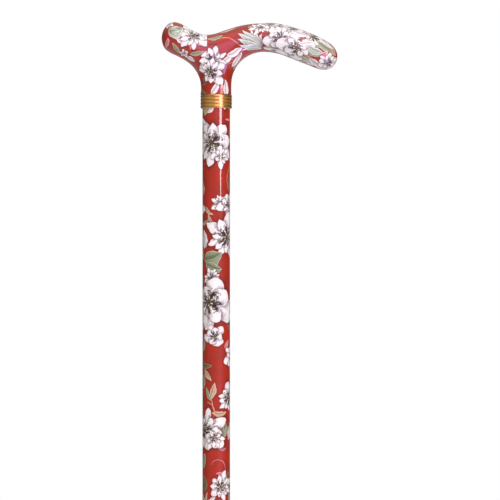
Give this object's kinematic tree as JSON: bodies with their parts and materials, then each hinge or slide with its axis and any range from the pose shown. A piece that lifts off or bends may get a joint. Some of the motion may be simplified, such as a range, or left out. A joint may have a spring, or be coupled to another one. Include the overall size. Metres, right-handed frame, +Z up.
{
  "type": "single point cane",
  "caption": "Height-adjustable walking cane with a crutch-style handle, floral printed shaft, ribbed collar, snap button, clamping nut and rubber ferrule",
  "frame": {"origin": "centre of the ferrule's base, on the shaft's axis, at the middle height setting", "axes": "+Z up along the shaft, +X towards the end of the handle's long arm, -Y the side with the snap button"},
  "size_m": [0.1405, 0.038, 0.8638],
  "materials": {
    "printed_wood": "glossy lacquered floral print film over wood",
    "printed_tube": "glossy lacquered floral print film over aluminium",
    "gold_collar": "polished gold-coloured metal",
    "anodised_tube": "satin black anodised",
    "brass_button": "polished",
    "steel": "zinc plated",
    "black_nylon": "moulded satin",
    "pale_nylon": "moulded natural",
    "rubber": "moulded matt"
  },
  "bodies": {
    "lower_shaft": {"lower_tube": "anodised_tube", "glide_bush": "pale_nylon", "button_spring": "steel", "ferrule": "rubber", "ferrule_disc": "steel"},
    "snap_button": {"snap_button": "brass_button"},
    "upper_shaft": {"handle": "printed_wood", "handle_spigot": "pale_nylon", "screw_washer": "steel", "handle_screw": "steel", "retaining_pin_left": "steel", "retaining_pin_right": "steel", "collar": "gold_collar", "upper_tube": "printed_tube", "lock_socket": "black_nylon"},
    "lock_wedge": {"lock_wedge": "pale_nylon"},
    "lock_nut": {"lock_nut": "black_nylon"}
  },
  "joints": [
    {"name": "height_slide", "type": "slide", "parent": "lower_shaft", "child": "upper_shaft", "axis": [0, 0, 1], "range_m": [-0.0762, 0.0762]},
    {"name": "button_press", "type": "slide", "parent": "lower_shaft", "child": "snap_button", "axis": [0, 1, 0], "range_m": [0, 0.0039], "stiffness_N_per_m": 1500, "springref_m": -0.002, "deforming": ["button_spring"]},
    {"name": "wedge_slide", "type": "slide", "parent": "upper_shaft", "child": "lock_wedge", "axis": [0, 0, -1], "range_m": [0, 0.003]},
    {"name": "nut_turn", "type": "hinge", "parent": "lock_wedge", "child": "lock_nut", "pos_m": [0, 0, 0.245], "axis": [0, 0, -1], "range_deg": [0, 360]}
  ],
  "couplings": [
    {"joint": "nut_turn", "follows": "wedge_slide", "rad_per_m": 2094.4}
  ]
}
